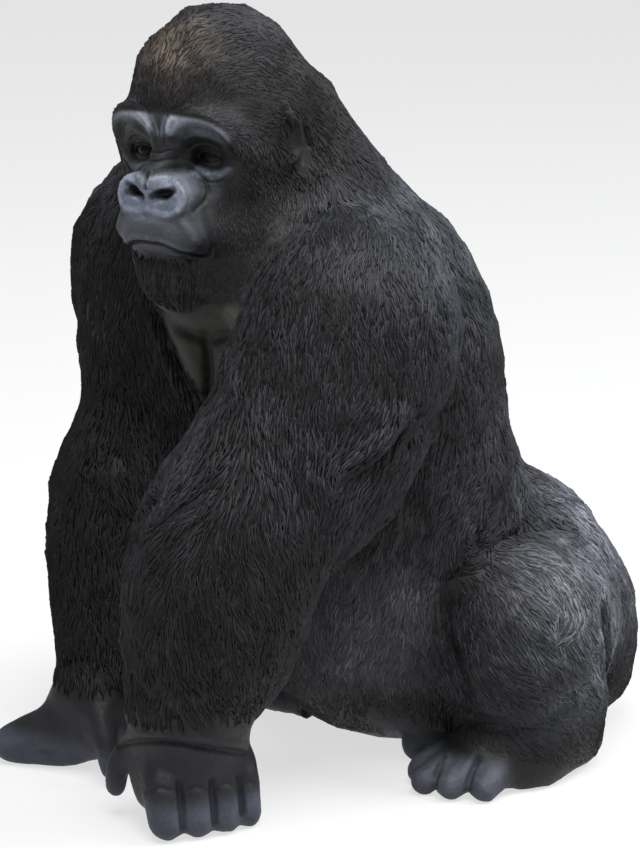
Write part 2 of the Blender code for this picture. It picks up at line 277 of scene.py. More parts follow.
# side and up on the face, width in mm, height in mm (below zero is a groove), both sides if mirrored
faceLines = [
    ("brow crest", [(5, 13), (8, 18.5), (15, 22), (24, 22), (31, 19), (35.5, 13), (38, 6)], 5.0, 2.2, True),
    ("frown inner", [(2.5, 8), (3.4, 14), (6.5, 21)], 1.9, -1.1, True),
    ("frown outer", [(7.5, 13), (9.5, 18), (13.5, 23)], 1.8, -0.9, True),
    ("frown middle", [(0, 10), (0, 18)], 1.6, -0.55, False),
    ("frown roll", [(4.8, 8), (6, 15), (9, 22)], 2.0, 0.7, True),
    ("under the brow", [(9, 9), (13, 13), (20, 15.5), (27, 14.5), (32, 10.5), (35, 4)], 4.5, -2.6, True),
    ("lid fold", [(12, 4.5), (16, 6.6), (21, 7.4), (26, 6.2), (30, 2.5)], 1.3, -1.0, True),
    ("eye bag", [(20, -9.5), (25, -10.8), (29, -9.8), (34, -5.5)], 1.6, -1.0, True),
    ("eye bag roll", [(16, -5.6), (21, -7.4), (28, -7)], 2.2, 0.8, True),
    ("eye bag low", [(24, -12.5), (29, -12.5), (34, -9)], 2.0, -0.45, True),
    ("nose side arc", [(12, -0.5), (18, -2), (24, -6.5), (27.5, -13)], 1.4, -0.45, True),
    ("bridge crease 1", [(-7, 4), (0, 3), (7, 4)], 1.1, -0.9, False),
    ("bridge crease 2", [(-8, 0), (0, -1), (8, 0)], 1.1, -0.9, False),
    ("nose rim", [(1.5, -11.5), (3.5, -9.5), (8, -8.4), (13, -9.2), (18, -12.5), (20, -17), (19, -22),
                  (15.5, -25.5), (9, -26), (1, -24.5)], 3.2, 1.4, True),
    ("nose wing groove", [(3, -5.5), (8, -4), (14, -4.8), (20.5, -8.5), (23.6, -13.5), (24, -19),
                          (22.5, -24)], 1.8, -0.95, True),
    ("nose notch", [(0, -6.5), (0, -10), (0, -13.5)], 1.8, -1.6, False),
    ("nostril", [(3.5, -18.2), (8, -16.6), (12.5, -14.6), (14.5, -13.8)], 3.1, -4.6, True),
    ("lip groove", [(0, -26), (0, -30), (0, -36)], 2.4, -0.45, False),
    ("muzzle fold", [(25, -24), (27.5, -32), (29, -40), (28.5, -47)], 3.0, -1.2, True),
    ("muzzle edge", [(18, -27), (22, -34), (24, -40)], 4.0, 1.1, True),
    ("lower lip", [(0, -49.5), (10, -50), (20, -50.5)], 6.0, -1.6, True),
    ("mouth", [(0, -40.6), (6, -40.8), (12, -42.2), (18, -45.2), (22, -46.4), (25.5, -45.8), (27.5, -43)],
     1.7, -3.2, True),
    ("upper lip edge", [(0, -38), (7, -38.2), (13, -39.8), (19, -42.4), (24, -43)], 2.0, 0.9, True),
    ("lower lip edge", [(0, -43.6), (7, -44), (13, -45.6), (19, -48.4)], 1.8, 0.8, True),
    ("under lip", [(0, -53), (8, -53.5), (16, -54), (24, -52)], 2.8, -0.45, True),
]

# the same drawn in the frame of the view: line, width in mm, height in mm
viewLines = [
    ("crease above the thigh", [(497, 545), (506, 538), (520, 531), (537, 527), (556, 525), (567, 528)],
     6.0, -4.5),
    ("crease above the thigh, deep", [(508, 536), (522, 530), (537, 527), (552, 526)], 3.0, -3.0),
    ("fold behind the thigh", [(601, 600), (605, 625), (607, 655), (606, 685), (602, 712)], 5.0, -3.5),
    ("fold before the thigh", [(445, 580), (446, 610), (451, 640), (460, 668), (468, 700)], 6.0, -2.5),
    ("armpit", [(446, 408), (432, 424), (414, 440), (396, 454)], 8.0, -3.5),
    ("armpit fringe", [(400, 414), (388, 436), (366, 456), (338, 472)], 7.0, 3.2),
    ("under the armpit fringe", [(410, 424), (398, 446), (380, 462), (352, 480)], 5.0, -3.2),
    ("elbow tuft", [(300, 470), (318, 484), (332, 494)], 7.0, 1.8),
    ("forearm fold", [(160, 522), (184, 508), (204, 490), (220, 472)], 4.5, -1.8),
    ("forearm swell", [(150, 548), (178, 530), (206, 512)], 7.0, 1.6),
    ("far forearm fold", [(84, 462), (104, 452), (130, 462), (150, 486)], 4.5, -1.8),
    ("far forearm swell", [(66, 486), (84, 474), (108, 474)], 7.0, 1.8),
    ("cheek against the shoulder", [(238, 324), (252, 290), (272, 257), (294, 230), (322, 208)], 5.0, -4.0),
    ("chest fur, left edge", [(148, 312), (160, 345), (176, 382), (196, 426)], 4.0, 1.4),
    ("chest fur, right edge", [(250, 342), (234, 372), (214, 414)], 4.0, 1.4),
    ("chest, left hollow", [(158, 315), (172, 350), (186, 385), (199, 420)], 4.5, -2.0),
    ("between the chest muscles", [(205, 335), (208, 358), (209, 385), (208, 411)], 4.0, -3.6),
    ("left chest muscle", [(180, 330), (192, 360), (202, 395)], 7.0, 1.4),
    ("right chest muscle", [(226, 345), (222, 370), (215, 395)], 5.0, 1.6),
    ("under the jaw", [(180, 330), (196, 336), (214, 339), (238, 330)], 5.0, -2.0),
    ("dip at the groin", [(452, 578), (468, 573), (486, 566)], 6.0, -1.6),
    ("wrist crease", [(118, 746), (135, 742), (160, 742), (190, 746), (220, 751), (246, 754)], 2.6, -2.6),
    ("wrist roll", [(120, 737), (150, 733), (190, 736), (225, 742), (246, 746)], 3.5, 1.3),
    ("knuckle 1", [(146, 793), (158, 788), (172, 790)], 1.8, -1.0),
    ("knuckle 2", [(184, 792), (195, 787), (207, 790)], 1.8, -1.0),
    ("knuckle 3", [(216, 788), (226, 783), (236, 787)], 1.8, -0.9),
    ("knuckle 4", [(242, 786), (250, 782), (258, 788)], 1.8, -0.9),
    ("between knuckles 1 and 2", [(179, 783), (181, 800), (183, 829)], 2.6, -3.0),
    ("between knuckles 2 and 3", [(212, 781), (213, 800), (215, 824)], 2.6, -3.0),
    ("between knuckles 3 and 4", [(239, 778), (241, 795), (243, 815)], 2.6, -2.8),
    ("toe gap 1", [(443, 757), (437, 775), (434, 791)], 2.4, -2.0),
    ("toe gap 2", [(478, 760), (470, 778), (466, 796)], 2.4, -2.0),
    ("toe gap 3", [(424, 742), (414, 752), (407, 758)], 2.2, -1.6),
    ("instep tendon 1", [(446, 742), (462, 728), (478, 716)], 3.5, 0.7),
    ("instep tendon 2", [(482, 748), (496, 732), (508, 718)], 3.5, 0.7),
]

# on the head, in the frame of the view, and copied to its other side
headLines = [
    ("ear rim", [(276, 127), (280, 119), (287, 116), (294, 121), (298, 133), (299, 146), (295, 158),
                 (289, 166)], 3.0, 3.6),
    ("ear hollow", [(284, 128), (287, 136), (288, 145), (285, 154)], 3.6, -3.0),
    ("before the ear", [(277, 130), (278, 142), (279, 154)], 2.4, -1.6),
    ("behind the ear", [(303, 126), (306, 142), (302, 160)], 3.0, -2.0),
]


def castSurface():
    bm = bmesh.new()
    bm.from_mesh(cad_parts["gorilla_figurine"].data)
    bmesh.ops.remove_doubles(bm, verts=bm.verts, dist=1e-6)
    mesh = bpy.data.meshes.new("skin")
    bm.to_mesh(mesh)
    bm.free()
    return place("skin", mesh)


def bareness(points):
    # 1 on the naked face, ears, chest, hands and feet, 0 under the hair
    q = headSpace(points)
    side, forward, up = np.abs(q[:, 0]), q[:, 1], q[:, 2]
    front = ease(forward, 24, 30)

    def oval(sideRadius, upAt, upRadius, square=2.0):
        size = (side / sideRadius) ** square + (np.abs(up - upAt) / upRadius) ** square
        return 1 - ease(size ** (1 / square), 0.92, 1.06)

    brows, nose, muzzle = oval(37.5, 4.5, 17, 3.2), oval(30, -12, 19), oval(28, -31.5, 15.8, 2.8)
    face = np.maximum.reduce([brows, nose, muzzle]) * front
    ear = (1 - ease(np.hypot(forward - 3, (up - 5) / 1.8), 5, 7.5)) * ease(side, 35, 37)
    x, y, z = points.T
    left = x + 40 - (240 - z) * 0.74
    right = 44 - (240 - z) * 0.66 - x
    chest = ease(left, -1.5, 2.5) * ease(right, -1.5, 2.5) * ease(z, 184, 190) * (1 - ease(z, 250, 262))
    chest = chest * ease(-y, 16, 24) * (1 - ease(-y, 74, 82)) * (1 - ease(forward, 40, 48))
    leftHand = (1 - ease(z - 0.08 * (x - 46), 53, 57)) * ease(-y, 48, 56) * ease(x, 0, 8)
    rightHand = (1 - ease(z, 40, 46)) * ease(-y, 40, 48) * (1 - ease(x, -8, 0))
    ankle = np.clip(26 - 0.36 * (y - 36), 3, 26)
    foot = (1 - ease(z, ankle, ankle + 6)) * ease(np.abs(x), 34, 42)
    foot = foot * (1 - ease(y, 120, 134)) * ease(y, 8, 14)
    return np.clip(np.maximum.reduce([face, ear, chest, leftHand, rightHand, foot]), 0, 1)


eyeForm = {"spread": 20.5, "forward": 34.6, "up": 0.3, "radius": 8.2, "cornea": 4.4, "bulge": 0.5}
# the slit's half width and heights, the lid's thickness, the hollow under it and its fade, in mm
lidForm = {"halfWidth": 7.0, "upper": 2.7, "lower": 2.1, "thick": 0.9, "hollow": 1.6, "reach": 4.5}


def shapeLids(points):
    # wraps the lids round the eyeballs and opens a slit in front of each
    form = lidForm
    q = headSpace(points)
    for sign in (1, -1):
        a = sign * q[:, 0] - eyeForm["spread"]
        b = q[:, 2] - eyeForm["up"]
        far = np.hypot(a, b)
        slit = 1 - (a / form["halfWidth"]) ** 2
        inside = np.minimum(form["upper"] * slit - b, b + form["lower"] * slit)
        outer, inner = eyeForm["radius"] + form["thick"], eyeForm["radius"] - form["hollow"]
        lid = eyeForm["forward"] + np.sqrt(np.maximum(outer ** 2 - far ** 2, 1))
        hole = eyeForm["forward"] + np.sqrt(np.maximum(inner ** 2 - far ** 2, 1))
        aim = lid + (hole - lid) * ease(inside, -0.3, 0.35)
        share = (1 - ease(-inside, 1.2, form["reach"])) * (1 - ease(far, 7.6, 9.2)) * (q[:, 1] > 28)
        q[:, 1] += (aim - q[:, 1]) * share
    return fromHead(q)


drawn = []             # every carved line, kept to paint its grooves dark
# painted shade: grooves are painted dark from the first depth on, and fully at the second, in mm
grooveShadeLook = {"from": 0.5, "full": 2.4, "skin": 0.86, "hair": 0.65}


def grooveShade(points):
    # painted shade in the carved grooves: 1 at their bottom, 0 away from them
    dark = np.zeros(len(points))
    for hits, radius, height in drawn:
        if height > -grooveShadeLook["from"] or not hits:
            continue
        line = np.array(hits)
        reach = radius * 1.15
        near = np.all((points > line.min(0) - reach) & (points < line.max(0) + reach), 1)
        index = np.flatnonzero(near)
        if not len(index):
            continue
        gap = np.full(len(index), 1e9)
        for q in line:
            gap = np.minimum(gap, np.linalg.norm(points[index] - q, axis=1))
        deep = min(1, -height / grooveShadeLook["full"]) * (1 - ease(gap, 0.15 * reach, reach))
        dark[index] = np.maximum(dark[index], deep)
    return dark


def refine(mesh):
    # halves the grain on the front of the head, for the finest carving
    q = headSpace(readPoints(mesh))
    near = (q[:, 1] > 27) & (q[:, 2] > -54) & (q[:, 2] < 29) & (np.abs(q[:, 0]) < 40)
    bm = bmesh.new()
    bm.from_mesh(mesh)
    edges = [e for e in bm.edges if near[e.verts[0].index] and near[e.verts[1].index]]
    bmesh.ops.subdivide_edges(bm, edges=edges, cuts=1, use_grid_fill=True)
    bm.to_mesh(mesh)
    bm.free()


def makeSkin():
    form = skinForm
    skin = castSurface()
    bake(skin, "SUBSURF", levels=form["rounding"], render_levels=2)
    grain = form["grain"] * 1
    mesh = bake(skin, "REMESH", mode="VOXEL", voxel_size=grain * 0.001, use_smooth_shade=True)
    refine(mesh)
    points = readPoints(mesh)
    edges = readEdges(mesh)
    bare = bareness(points)
    points = relax(points, edges, 1 - 0.75 * bare, 3)
    writePoints(mesh, points)
    report("skin taken from the cast: %d points" % len(points))

    surface, _, _ = surfaceOf(mesh)
    normals = readNormals(mesh)
    haired = 1 - bare
    lumps = cloud(points * (1, 1, 0.7), 17, 3) * 0.9 + cloud(points * (1, 1, 0.6), 8, 4) * 0.45
    head = 1 - ease(np.linalg.norm(points - headAt - (0, 8, 0), axis=1), 55, 75)
    points += normals * (lumps * haired * (1 - 0.7 * head) * ease(points[:, 2], 3, 12))[:, None]
    for _, line, radius, height in viewLines + headLines:
        hits = [sight(surface, *q)[0] for q in between(curve(line), 1.2)]
        drawn.append(([h for h in hits if h is not None], radius, height))
    for hits, radius, height in drawn[-len(headLines):]:
        other = headSpace(np.array(hits)) * (-1, 1, 1)
        other = [surface.find_nearest(Vector(p))[0] for p in fromHead(other)]
        drawn.append(([np.array(p) for p in other], radius, height))
    for _, line, radius, height, mirrored in faceLines:
        for sign in (1, -1) if mirrored else (1,):
            hits = [faceOn(surface, sign * a, b) for a, b in between(curve(line), 0.6)]
            hits = [h for h in hits if h is not None]
            drawn.append((between(hits, 0.6) if hits else [], radius, height))
    for hits, radius, height in drawn:
        if hits:
            press(points, normals, hits, radius, height)
    points = shapeLids(points)
    pores = cloud(points, 1.9, 8) * 0.10 + cloud(points, 3.6, 9) * 0.12
    points += normals * (pores * bare)[:, None]
    points[:, 2] = np.maximum(points[:, 2], zero[2])
    writePoints(mesh, points)
    report("skin sculpted")

    q = headSpace(points)
    face = ease(q[:, 1], 26, 32) * ease(q[:, 2], -62, -52) * (1 - ease(q[:, 2], 30, 36))
    keep = np.maximum(face * form["faceKeep"], bare * form["handKeep"])
    group = skin.vertex_groups.new(name="thin")
    levels = np.round((1 - keep) * 10) / 10
    for level in np.unique(levels):
        group.add(np.flatnonzero(levels == level).tolist(), float(level), "REPLACE")
    share = min(1, form["triangles"] / (2 * len(mesh.polygons)))
    mesh = bake(skin, "DECIMATE", ratio=share, use_collapse_triangulate=True,
                vertex_group="thin", vertex_group_factor=1.0)
    mesh.shade_smooth()
    report("skin thinned: %d triangles" % len(mesh.polygons))
    return skin


# Colours are sRGB values from 0 to 255.
paint = {
    "hairCoat": (37, 37, 40),
    "crown": (26, 25, 24),
    "forehead": (84, 75, 67),
    "cheekHair": (42, 41, 42),
    # shoulder, belly, rump and thigh are paler hair tones that are painted light
    "shoulder": (48, 49, 54),
    "forearm": (27, 27, 29),
    "belly": (102, 101, 106),
    "rump": (82, 84, 91),
    "thigh": (116, 118, 126),
    "browSkin": (176, 184, 202),
    # painted highlight for the brow crest
    "browCrestHighlight": (206, 213, 227),
    "noseSkin": (118, 125, 141),
    "muzzleSkin": (90, 93, 102),
    # painted shade on the lower lip, under the upper lip
    "lowerLipShade": (38, 37, 37),
    # painted shade in the eye sockets, between the eyes and in the nostrils
    "recessShade": (14, 14, 16),
    "faceSkin": (54, 55, 59),
    "chestSkin": (90, 91, 85),
    "handSkin": (34, 34, 38),
    "knuckle": (78, 82, 94),
    "footSkin": (14, 14, 16),
    "toe": (80, 83, 93),
    # the ears' dark skin, painted darker still as shade
    "earSkin": (20, 20, 22),
}


def linear(colour):
    c = np.array(colour, float) / 255
    return np.where(c <= 0.04045, c / 12.92, ((c + 0.055) / 1.055) ** 2.4)


def opaque(colour, share=1.0):
    return tuple(share * v for v in linear(colour)) + (1,)


def lay(base, mask, colour):
    return base + (linear(paint[colour]) - base) * np.clip(mask, 0, 1)[:, None]


def ball(points, centre, radius, soft=0.6):
    d = np.linalg.norm((points - np.array(centre)) / np.array(radius), axis=1)
    return 1 - ease(d, 1 - soft, 1)


def hairColours(points):
    q = headSpace(points)
    x, y, z = points.T
    mirror = oneSide(points)
    headSide = oneSide(q)
    c = np.tile(linear(paint["hairCoat"]), (len(points), 1))
    # painted light: paler on the shoulders and on the back, where the lamps fall
    c = lay(c, ease(z, 225, 262) * ease(y, -30, 0) * (1 - ease(z, 300, 318)), "shoulder")
    c = lay(c, ball(points, (95, -10, 262), (52, 50, 52)), "shoulder")
    c = lay(c, ease(y, 88, 125) * ease(z, 90, 150), "shoulder")
    head = 1 - ease(np.linalg.norm(q / headRadii, axis=1), 0.9, 1.15)
    c = lay(c, head, "crown")
    c = lay(c, ball(q, (0, 36, 44), (32, 30, 26), 0.8), "forehead")
    c = lay(c, ball(headSide, (32, 18, -26), (26, 34, 44)), "cheekHair")
    c = lay(c, (1 - ease(z, 130, 190)) * ease(-y, 10, 34), "forearm")
    # painted light: the belly paler, as if lit from the floor below
    c = lay(c, ball(points, (20, 30, 90), (84, 46, 90)), "belly")
    # painted shade: darker on the far arm, behind the ears, at the ankles and on the chin
    farArmShade = ease(-x, 20, 60) * ease(-y, -20, 20) * (1 - ease(z, 270, 300))
    behindEarShade = ball(headSide, (46, -20, 4), (28, 36, 42), 0.7)
    ankleShade = (1 - ease(z, 34, 56)) * ease(y, 0, 20)
    chinShade = ball(q, (0, 45, -66), (36, 34, 16), 0.7)
    for mask, shadeShare in ((farArmShade, 0.68), (behindEarShade, 0.6), (ankleShade, 0.6), (chinShade, 0.45)):
        c = c * (1 - shadeShare * mask)[:, None]
    # painted light: the thighs and the rump paler where the lamps fall on them
    c = lay(c, ball(mirror, (106, 96, 72), (48, 60, 60), 0.7), "thigh")
    c = lay(c, ball(mirror, (70, 158, 108), (62, 62, 62), 0.8), "rump")
    c = lay(c, ball(mirror, (92, 128, 112), (44, 44, 30), 0.9) * 0.6, "rump")
    return c


# painted highlights drawn on the face, on the brow crest, the inner brow fold, the eye bags, the nose rim
# and the lower lip's edge: colour, line across and up, reach in mm, share
faceHighlights = [
    ("browCrestHighlight", [(9, 15.5), (12, 18), (17, 19), (24, 18.5), (30, 16), (33.5, 13)], 6.5, 0.8),
    ("browSkin", [(2, 12), (3.5, 16), (5, 19)], 2.6, 0.35),
    ("browSkin", [(16, -6), (23, -7.5), (29, -7), (33, -5)], 3.2, 0.25),
    ("browSkin", [(1.5, -11), (3.5, -9.5), (8, -8.6), (13, -9.4), (18, -12.7), (19.6, -17), (18.6, -22)],
     3.2, 0.35),
    ("muzzleSkin", [(0, -44.4), (8, -44.8), (14, -46.6)], 2.4, 0.6),
]


def nearLine(s, line, reach):
    # 1 on a line drawn on the face, 0 at its reach
    gap = np.full(len(s), 1e9)
    face = np.flatnonzero(s[:, 1] > 24)
    for a, b in between(curve(line), 0.7):
        gap[face] = np.minimum(gap[face], np.hypot(s[face, 0] - a, s[face, 2] - b))
    return 1 - ease(gap, 0.25 * reach, reach)


def skinColours(points, normals):
    q = headSpace(points)
    side, forward, up = np.abs(q[:, 0]), q[:, 1], q[:, 2]
    s = oneSide(q)
    y, z = points[:, 1], points[:, 2]
    bare = bareness(points)
    # painted shade between the hair strokes: the skin under the hair takes the hair's colour darkened,
    # least at the back and low down
    soft = ease(y, -10, 30) * (1 - ease(z, 150, 200))
    under = hairColours(points) * (0.42 + 0.36 * soft)[:, None]
    c = np.tile(linear(paint["faceSkin"]), (len(points), 1))
    c = lay(c, ball(s, (20, 42, 19), (24, 40, 8), 0.7) * 0.45, "browSkin")
    c = lay(c, ball(s, (0, 50, -34), (30, 60, 15), 0.5), "muzzleSkin")
    c = lay(c, ball(s, (9.5, 55, -17.5), (13.5, 60, 10.5), 0.3), "noseSkin")
    c = lay(c, ball(s, (3, 55, -25), (15, 60, 7.5), 0.6), "noseSkin")
    # painted shade on the lower lip, under the upper lip
    c = lay(c, ball(s, (0, 50, -50), (28, 60, 8), 0.4), "lowerLipShade")
    # painted shade: near black in the eye sockets, between the eyes and in the nostrils
    c = lay(c, ball(s, (23, 42, 1.5), (18, 60, 11.5), 0.3), "recessShade")
    c = lay(c, ball(s, (0, 50, 3), (12, 60, 9), 0.6) * 0.7, "recessShade")
    c = lay(c, ball(s, (9.5, 60, -16), (7.5, 30, 3.6), 0.4), "recessShade")
    # painted highlights along the lines drawn on the face
    for name, line, reach, share in faceHighlights:
        c = lay(c, nearLine(s, line, reach) * share, name)
    # painted shade on the temple on the far side of the face
    farTempleShade = ease(-q[:, 0], 22, 31) * ease(up, -14, -6) * (1 - ease(up, 12, 19))
    c = c * (1 - 0.75 * farTempleShade)[:, None]
    # the ears' dark skin, painted darker still as shade
    c = lay(c, (side > 36) * (forward < 18) * 1.0, "earSkin")
    c = lay(c, (1 - ease(z, 250, 262)) * ease(z, 150, 180), "chestSkin")
    hand = (1 - ease(z, 60, 80)) * ease(-y, 36, 46)
    c = lay(c, hand, "handSkin")
    # painted highlight: the knuckles paler on the sides that face the view
    facingHighlight = ease(-normals[:, 1] + normals[:, 0], -0.4, 0.6)
    c = lay(c, hand * (1 - ease(z, 14, 26)) * facingHighlight, "knuckle")
    foot = (1 - ease(z, 50, 60)) * ease(y, 0, 10)
    c = lay(c, foot, "footSkin")
    toes = foot * (1 - ease(y, 46, 62)) * (1 - ease(z, 16, 24))
    c = lay(c, toes, "toe")
    return under + (c - under) * bare[:, None]


def sharpness(points, normals, edges):
    # 0 deep in a groove, 0.5 on a plain surface, 1 on a ridge
    count = np.maximum(np.bincount(edges.ravel(), minlength=len(points)), 1)
    bend = np.einsum("ij,ij->i", points - neighbourMean(points, edges, count), normals)
    length = np.linalg.norm(points[edges[:, 0]] - points[edges[:, 1]], axis=1)
    mean = np.bincount(edges.ravel(), np.repeat(length, 2), len(points)) / count
    bend = (bend / np.maximum(mean, 0.1) ** 2)[:, None]
    for _ in range(3):
        bend = 0.5 * bend + 0.5 * neighbourMean(bend, edges, count)
    return np.clip(0.5 + bend[:, 0] * 1.9, 0, 1)


def storeColours(mesh, colours):
    layer = mesh.color_attributes.new("paint", "FLOAT_COLOR", "POINT")
    layer.data.foreach_set("color", np.c_[colours, np.ones(len(colours))].astype(np.float32).ravel())


def storeValues(mesh, name, values):
    layer = mesh.attributes.new(name, "FLOAT", "POINT")
    layer.data.foreach_set("value", values.astype(np.float32))


def paintSkin(mesh, material):
    points = np.clip(readPoints(mesh), toSculpt(cadBox[0]), toSculpt(cadBox[1]))
    writePoints(mesh, points)
    normals = readNormals(mesh)
    # painted shade darkens the skin's colours in the carved grooves
    colours = skinColours(points, normals) * (1 - grooveShadeLook["skin"] * grooveShade(points))[:, None]
    storeColours(mesh, colours)
    storeValues(mesh, "edge", sharpness(points, normals, readEdges(mesh)))
    mesh.materials.clear()
    mesh.materials.append(material)


# The hair is modelled as tapering strokes that follow the coat.
# Length, width and height of one stroke and the gap between roots are in mm.
coats = {
    "head": {"length": 7.0, "width": 1.1, "height": 0.6, "gap": 1.85},
    "cheek": {"length": 4.0, "width": 0.75, "height": 0.16, "gap": 1.6},
    "back": {"length": 11.0, "width": 1.35, "height": 0.8, "gap": 2.6},
    "arm": {"length": 15.5, "width": 1.6, "height": 1.15, "gap": 2.8},
    "belly": {"length": 9.0, "width": 1.15, "height": 0.5, "gap": 2.35},
    "thigh": {"length": 10.5, "width": 1.3, "height": 0.75, "gap": 2.45},
    "ankle": {"length": 5.0, "width": 1.0, "height": 0.4, "gap": 2.0},
}
hairLook = {
    "swerve": 0.16,        # how far single strokes stray, in radians
    "wave": 0.42,          # how far whole tufts stray
    "curl": 0.35,
    "tones": 0.34,         # spread of the strokes' own brightness
    "sink": 0.35,          # mm that a stroke's foot lies under the skin
    "trial": 0.55,         # mm2 of skin to each root tried
    "pieceLimit": 16600,   # strokes in one piece
    "seed": 11,
}

cellPrimes = np.array((73856093, 19349663, 83492791))      # make one number of a cell's place

# the lie of the coat, drawn in the frame of the view: from, to
lieOfCoat = {
    "head": [
        (150, 78, 152, 60), (170, 95, 172, 76), (190, 100, 200, 82), (215, 98, 232, 84),
        (240, 112, 262, 106), (165, 55, 178, 36), (195, 60, 212, 44), (225, 62, 246, 54),
        (210, 25, 232, 22), (250, 40, 272, 52), (265, 80, 290, 88), (290, 80, 308, 104),
        (310, 115, 328, 142), (300, 135, 312, 165), (335, 150, 352, 180), (320, 175, 334, 200),
        (365, 185, 384, 208), (262, 150, 268, 176), (245, 175, 250, 200), (270, 195, 276, 222),
        (228, 210, 231, 236), (225, 260, 228, 286), (262, 230, 262, 256), (250, 280, 244, 304),
        (195, 268, 196, 292), (165, 262, 167, 286), (190, 300, 197, 322), (222, 305, 222, 326),
        (140, 255, 143, 275),
    ],
    "shoulder and upper back": [
        (350, 222, 350, 250), (300, 250, 290, 282), (330, 235, 324, 266), (385, 222, 394, 250),
        (425, 222, 440, 252), (285, 310, 276, 342), (268, 350, 262, 384), (310, 290, 302, 324),
        (340, 300, 336, 334), (375, 290, 375, 324), (410, 290, 414, 324), (450, 270, 462, 304),
        (475, 320, 484, 354), (440, 350, 440, 384), (500, 390, 507, 424), (475, 410, 472, 444),
        (505, 445, 508, 475), (405, 340, 402, 372),
    ],
    "left upper arm": [
        (290, 350, 288, 384), (318, 350, 316, 384), (350, 350, 346, 384), (380, 355, 372, 388),
        (255, 400, 254, 432), (285, 400, 286, 432), (320, 400, 318, 432), (355, 400, 346, 430),
        (385, 400, 366, 430), (398, 430, 378, 452), (365, 440, 346, 466), (335, 440, 328, 472),
        (305, 440, 310, 472), (275, 440, 278, 470), (245, 445, 240, 474), (350, 465, 338, 486),
        (320, 470, 322, 494), (300, 480, 308, 502), (232, 430, 226, 452),
    ],
    "left elbow": [
        (222, 470, 202, 494), (205, 495, 180, 516), (235, 500, 214, 528), (190, 525, 164, 548),
        (258, 500, 252, 530), (165, 535, 146, 562), (150, 560, 138, 592), (180, 550, 168, 582),
        (205, 550, 198, 582), (230, 545, 232, 578), (255, 545, 266, 576), (280, 540, 294, 568),
        (295, 575, 304, 602), (300, 610, 300, 640), (270, 590, 286, 620),
    ],
    "left forearm": [
        (145, 610, 142, 642), (170, 605, 170, 638), (200, 605, 206, 638), (235, 605, 246, 636),
        (150, 655, 154, 686), (180, 655, 188, 686), (215, 655, 226, 686), (250, 655, 260, 684),
        (280, 650, 282, 678), (135, 690, 138, 716), (165, 700, 170, 726), (200, 705, 205, 730),
        (235, 700, 240, 726), (260, 700, 262, 722), (128, 640, 127, 670), (300, 520, 306, 548),
        (270, 515, 272, 540), (315, 540, 312, 570),
    ],
    "flank and belly": [
        (420, 455, 410, 484), (395, 475, 380, 500), (450, 460, 440, 492), (480, 470, 470, 500),
        (370, 520, 356, 548), (410, 520, 398, 550), (440, 520, 430, 552), (345, 560, 334, 590),
        (385, 580, 374, 612), (425, 575, 418, 606), (340, 620, 332, 648), (375, 640, 366, 668),
        (415, 640, 410, 668), (320, 660, 314, 684), (350, 690, 344, 708), (390, 700, 384, 718),
        (310, 600, 304, 628), (430, 680, 428, 704), (460, 500, 446, 528), (330, 520, 322, 545),
    ],
    "waist and rump": [
        (490, 480, 480, 508), (515, 490, 518, 514), (545, 500, 566, 514), (575, 510, 596, 530),
        (605, 545, 620, 572), (625, 590, 629, 620), (628, 640, 624, 670), (616, 690, 610, 716),
        (500, 515, 486, 530), (548, 515, 568, 524), (590, 545, 606, 566),
    ],
    "left thigh and shin": [
        (470, 560, 486, 552), (500, 550, 526, 552), (530, 545, 556, 556), (560, 552, 582, 570),
        (585, 572, 600, 596), (452, 590, 448, 618), (475, 580, 486, 600), (500, 575, 520, 588),
        (530, 575, 552, 590), (560, 580, 574, 600), (580, 598, 584, 618), (574, 622, 562, 632),
        (450, 640, 454, 668), (475, 620, 484, 644), (500, 610, 518, 630), (530, 610, 552, 626),
        (480, 660, 494, 682), (510, 650, 532, 668), (545, 645, 568, 660), (575, 650, 592, 664),
        (462, 685, 470, 706), (500, 690, 518, 706), (530, 680, 554, 694), (562, 680, 584, 692),
        (590, 690, 598, 706), (520, 715, 538, 726), (555, 712, 574, 724), (585, 722, 592, 740),
    ],
    "right arm": [
        (90, 195, 84, 224), (75, 240, 74, 270), (95, 240, 92, 272), (88, 290, 85, 322),
        (110, 290, 108, 322), (120, 330, 122, 360), (90, 350, 88, 382), (140, 330, 148, 362),
        (100, 400, 98, 430), (130, 390, 136, 420), (160, 390, 168, 420), (180, 430, 184, 452),
        (82, 430, 72, 458), (110, 440, 104, 470), (140, 440, 146, 470), (165, 450, 172, 476),
        (65, 480, 58, 508), (90, 480, 86, 512), (120, 485, 126, 514), (150, 490, 150, 514),
        (62, 530, 62, 562), (90, 530, 92, 562), (115, 540, 116, 570), (64, 590, 68, 622),
        (90, 590, 94, 622), (112, 600, 112, 630), (75, 640, 80, 668), (100, 650, 102, 680),
    ],
}

# the same where the view can't see it: a point of the body in mm, and the way the hair lies there
hiddenLie = [
    (0, 60, 300, 0, 0.5, -0.9), (0, 115, 250, 0, 0.3, -1), (0, 132, 200, 0, 0.1, -1),
    (0, 136, 150, 0, 0.2, -1), (0, 195, 90, 0, 0.1, -1), (45, 196, 80, 0.3, 0.2, -1),
    (45, 188, 45, 0.2, 0, -1), (0, 120, 120, 0, 0.5, -0.9), (60, 120, 230, 0.1, 0.2, -1),
    (70, 120, 170, 0.1, 0.1, -1), (80, 105, 200, 0, 0, -1), (120, 20, 240, 0, -0.1, -1),
    (126, -10, 200, 0, -0.2, -1), (0, -10, 150, 0, -0.2, -1), (40, -10, 150, -0.2, -0.2, -1),
    (0, -8, 100, 0, -0.1, -1), (30, 0, 70, 0, 0, -1), (100, 60, 50, 0, 0.2, -1), (80, 40, 95, -0.1, 0, -1),
    (25, -105, 100, -0.1, -0.1, -1), (95, -60, 110, 0.1, 0.3, -1), (60, -40, 90, 0, 0.4, -1),
    (60, -50, 55, 0, 0, -1), (0, 50, 340, 0, 0.9, -0.4), (0, 30, 365, 0, 1, 0),
    (30, 30, 330, 0.2, 0.8, -0.6), (40, 20, 290, 0.3, 0.4, -0.9),
]


